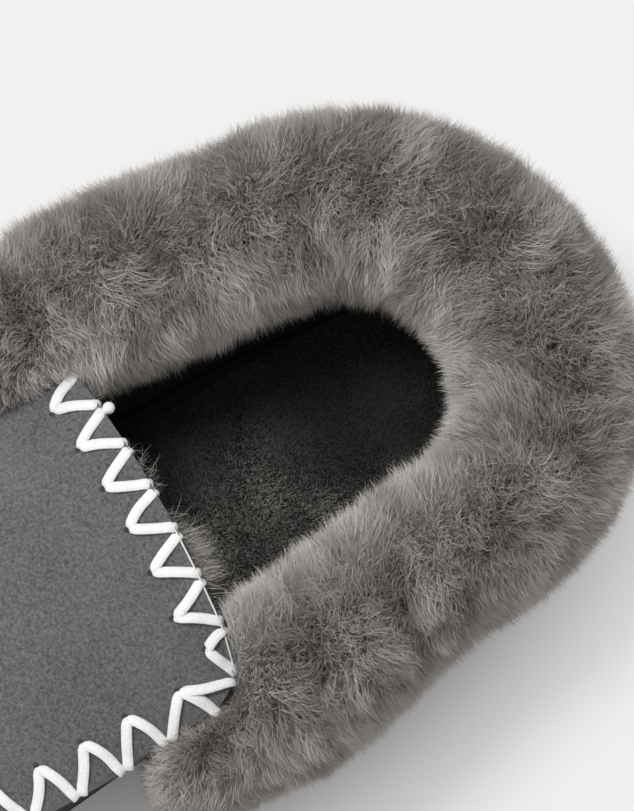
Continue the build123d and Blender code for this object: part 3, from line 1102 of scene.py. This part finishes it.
# %% Punched holes
# Each hole is a flat dark disk of painted shade on the suede, not an opening.
hole_radius = 0.75 * MM
hole_shift = 0.5 * MM
hole_lift = 0.06 * MM
hole_corners = 10
hole_verts = []
hole_faces = []
for hole in sorted({tuple(np.round(leg[0], 5)) for leg in legs}):
    inward = unit((apron_middle - np.array(hole))[None, :] * np.array([1, 1, 0]))[0] * hole_shift
    base = len(hole_verts)
    for index in range(hole_corners):
        angle = 2 * math.pi * index / hole_corners
        x = hole[0] + inward[0] + hole_radius * math.cos(angle)
        y = hole[1] + inward[1] + hole_radius * math.sin(angle)
        top = drop_to_suede(x, y, hole_lift)
        hole_verts.append(tuple(top) if top is not None else (x, y, hole[2]))
    hole_faces.append(tuple(range(base, base + hole_corners)))
hole_shade_mesh = bpy.data.meshes.new("painted_hole_shade")
hole_shade_mesh.from_pydata(hole_verts, [], hole_faces)
add_piece("painted_hole_shade", hole_shade_mesh, hide)
print("punched holes:", len(hole_faces))

# %% [markdown]
# ## Floor, light and camera
#
# A pale floor under soft light keeps the shadow gentle. Near the slipper the floor is plain and
# takes the shadow. Further off, and for the camera alone, it turns into an even pale tone, by way
# of an oval that follows the slipper's outline. The camera looks almost straight down on the heel
# half, from the inner side, with a long lens.

# %% Floor and light
floor_half = 3.0
floor_tone = 0.83
even_tone = 0.871
oval_half_width = 0.088
oval_half_length = 0.155
fade_start = 0.55
fade_end = 1.5
fade_most = 0.85
world_strength = 0.66
floor_sides = (-floor_half, floor_half)
floor_corners = np.array([(x, y, 0.0) for x in floor_sides for y in floor_sides])
floor_mesh = grid_mesh("floor", floor_corners, 2, 2)
floor = bpy.data.objects.new("floor", floor_mesh)
bpy.context.scene.collection.objects.link(floor)
floor_material, floor_tree, floor_shader = new_material("pale floor", 0.9, specular=0.0)
floor_shader.inputs["Base Color"].default_value = (floor_tone, floor_tone, floor_tone, 1)
glow = floor_tree.nodes.new("ShaderNodeEmission")
glow.inputs["Color"].default_value = (even_tone, even_tone, even_tone, 1)
seen = floor_tree.nodes.new("ShaderNodeLightPath")
floor_mix = floor_tree.nodes.new("ShaderNodeMixShader")
floor_place = floor_tree.nodes.new("ShaderNodeTexCoord")
floor_parts = floor_tree.nodes.new("ShaderNodeSeparateXYZ")
floor_tree.links.new(floor_place.outputs["Object"], floor_parts.inputs[0])
oval_shares = []
for way, half in (("X", oval_half_width), ("Y", oval_half_length)):
    share = math_node(floor_tree, "DIVIDE", floor_parts.outputs[way], half)
    oval_shares.append(math_node(floor_tree, "POWER", share, 2.0))
off_slipper = floor_tree.nodes.new("ShaderNodeMapRange")
off_slipper.inputs["From Min"].default_value = fade_start
off_slipper.inputs["From Max"].default_value = fade_end
off_slipper.inputs["To Min"].default_value = 0.0
off_slipper.inputs["To Max"].default_value = fade_most
floor_tree.links.new(math_node(floor_tree, "ADD", *oval_shares), off_slipper.inputs["Value"])
fade = off_slipper.outputs["Result"]
plain_share = math_node(floor_tree, "MULTIPLY", seen.outputs["Is Camera Ray"], fade)
floor_tree.links.new(plain_share, floor_mix.inputs[0])
floor_tree.links.new(floor_shader.outputs[0], floor_mix.inputs[1])
floor_tree.links.new(glow.outputs[0], floor_mix.inputs[2])
floor_out = next(node for node in floor_tree.nodes if node.type == "OUTPUT_MATERIAL")
floor_tree.links.new(floor_mix.outputs[0], floor_out.inputs["Surface"])
floor_mesh.materials.append(floor_material)

world = bpy.data.worlds.new("studio")
world.use_nodes = True
world.node_tree.nodes["Background"].inputs["Color"].default_value = (1, 1, 1, 1)
world.node_tree.nodes["Background"].inputs["Strength"].default_value = world_strength
bpy.context.scene.world = world

view_turn = math.radians(60)
view_rise = math.radians(75.5)
right = Vector((math.cos(view_turn), math.sin(view_turn), 0))
away = Vector((-math.sin(view_turn), math.cos(view_turn), 0))


def add_light(name, place, target, size, watts):
    data = bpy.data.lights.new(name, "AREA")
    data.shape = "DISK"
    data.size = size
    data.energy = watts
    lamp = bpy.data.objects.new(name, data)
    bpy.context.scene.collection.objects.link(lamp)
    lamp.location = place
    lamp.rotation_euler = (Vector(target) - Vector(place)).to_track_quat("-Z", "Y").to_euler()
    return lamp


key_left = 0.7
key_away = 0.4
key_height = 1.9
key_size = 0.8
key_watts = 27
middle = Vector((0, heel_back - 0.08, 0.05))
key_place = middle - right * key_left + away * key_away + Vector((0, 0, key_height))
add_light("key", key_place, middle, key_size, key_watts)

# %% Camera
camera_data = bpy.data.cameras.new("camera")
camera = bpy.data.objects.new("camera", camera_data)
bpy.context.scene.collection.objects.link(camera)
bpy.context.scene.camera = camera
picture_width = 149 * MM
distance = 1.15
sensor_width = 36
seam_from_heel = 51 * MM
seam_below_top = 7 * MM
aim_left = 27.9 * MM
aim_down = 8.2 * MM
camera_data.sensor_fit = "HORIZONTAL"
camera_data.sensor_width = sensor_width
camera_data.lens = sensor_width * distance / picture_width
collar_seam = Vector((inner_low.x, heel_back - seam_from_heel, collar_high - seam_below_top))
up = away * math.sin(view_rise) + Vector((0, 0, math.cos(view_rise)))
aim = collar_seam - right * aim_left - up * aim_down
backward = -away * math.cos(view_rise) + Vector((0, 0, math.sin(view_rise)))
camera.location = aim + backward * distance
camera.rotation_euler = (-backward).to_track_quat("-Z", "Y").to_euler()
bpy.context.scene.view_settings.view_transform = "Standard"
